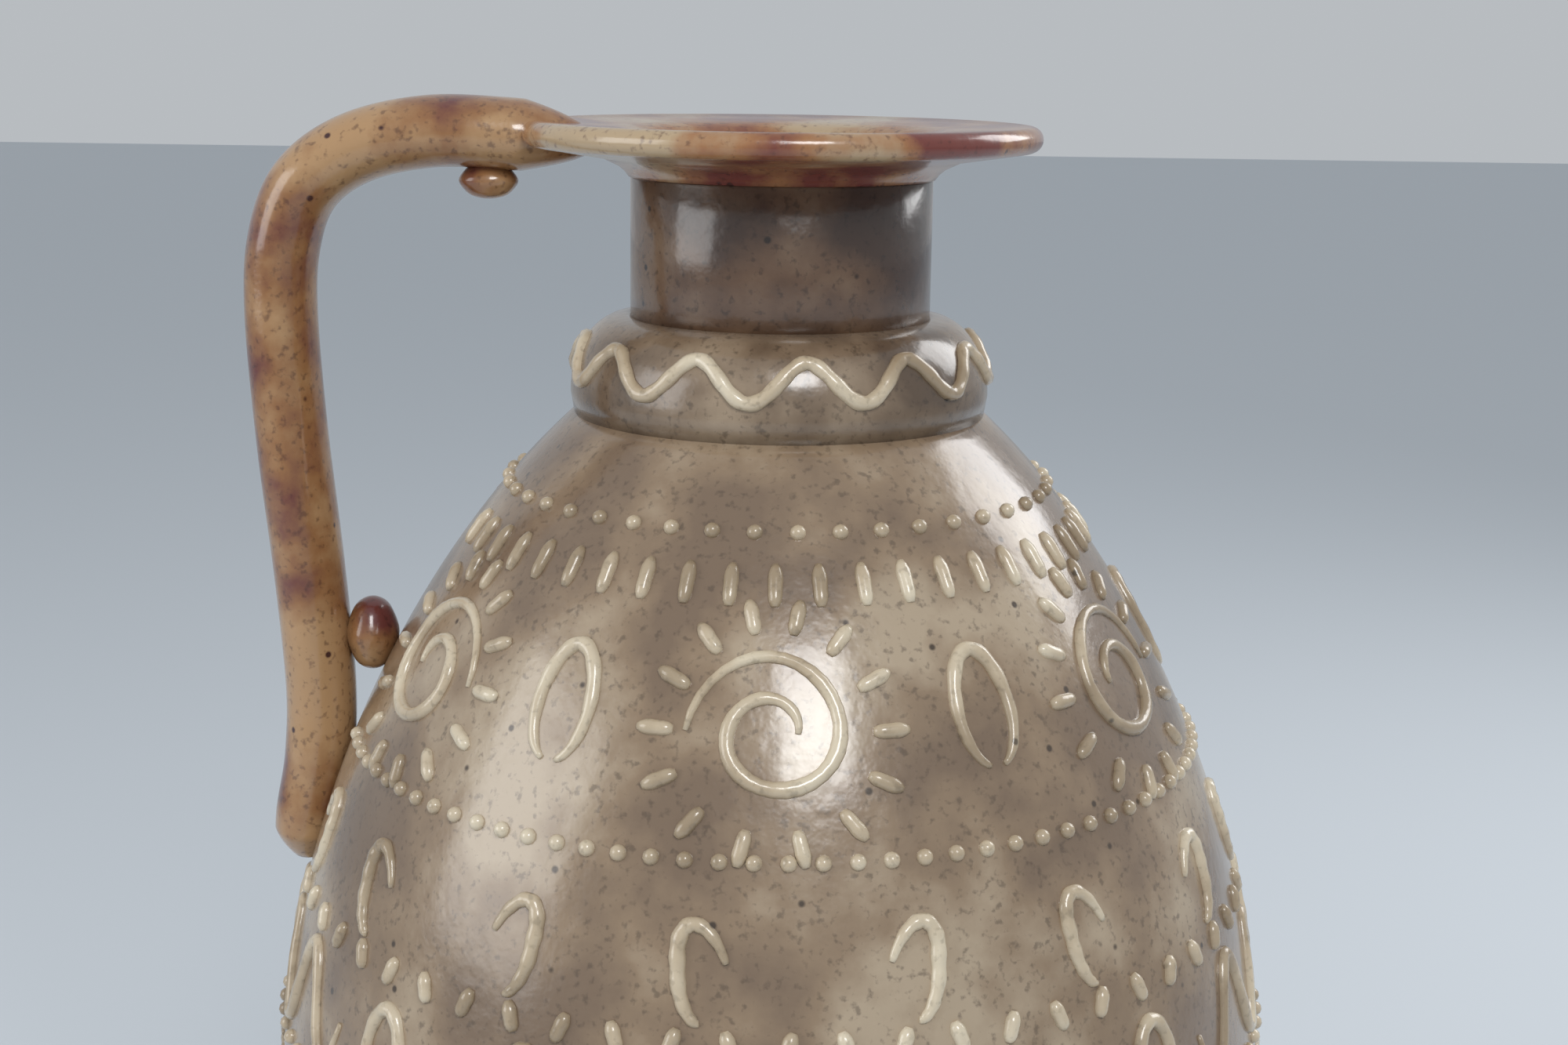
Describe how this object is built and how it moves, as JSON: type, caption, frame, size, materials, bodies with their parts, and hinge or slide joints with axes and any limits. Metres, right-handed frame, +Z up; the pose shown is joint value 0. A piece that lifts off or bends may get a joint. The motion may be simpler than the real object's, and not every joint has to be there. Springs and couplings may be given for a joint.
{
  "type": "stoneware jug",
  "caption": "Tall wheel-thrown jug with a round belly, cushion collar, narrow neck, flanged rim, strap handle and raised slip trails.",
  "frame": {"origin": "centre of the flat underside", "axes": "+Z up, handle towards -X, pictured front towards -Y"},
  "size_m": [0.2311, 0.226, 0.4048],
  "materials": {
    "belly_glaze": "glossy mottled stoneware glaze",
    "collar_glaze": "glossy mottled stoneware glaze",
    "neck_glaze": "glossy mottled stoneware glaze",
    "rim_glaze": "glossy mottled stoneware glaze",
    "strap_glaze": "glossy mottled stoneware glaze",
    "slip_glaze": "glossy mottled stoneware glaze"
  },
  "bodies": {
    "root": {"thrown_belly": "belly_glaze", "shoulder_collar": "collar_glaze", "neck_tube": "neck_glaze", "rim_flange": "rim_glaze", "strap_handle": "strap_glaze", "handle_root_wad": "strap_glaze", "handle_rim_lump": "strap_glaze", "collar_slip_band": "slip_glaze", "slip_spiral_1": "slip_glaze", "slip_spiral_2": "slip_glaze", "slip_spiral_3": "slip_glaze", "slip_spiral_4": "slip_glaze", "slip_spiral_5": "slip_glaze", "slip_spiral_6": "slip_glaze", "slip_wave_1": "slip_glaze", "slip_wave_2": "slip_glaze", "slip_wave_3": "slip_glaze", "slip_wave_4": "slip_glaze", "slip_wave_5": "slip_glaze", "slip_wave_6": "slip_glaze", "slip_wave_7": "slip_glaze", "slip_wave_8": "slip_glaze", "slip_scroll_1": "slip_glaze", "slip_scroll_2": "slip_glaze", "slip_scroll_3": "slip_glaze", "slip_scroll_4": "slip_glaze", "slip_scroll_5": "slip_glaze", "slip_scroll_6": "slip_glaze", "slip_scroll_7": "slip_glaze", "slip_scroll_8": "slip_glaze"}
  },
  "joints": []
}
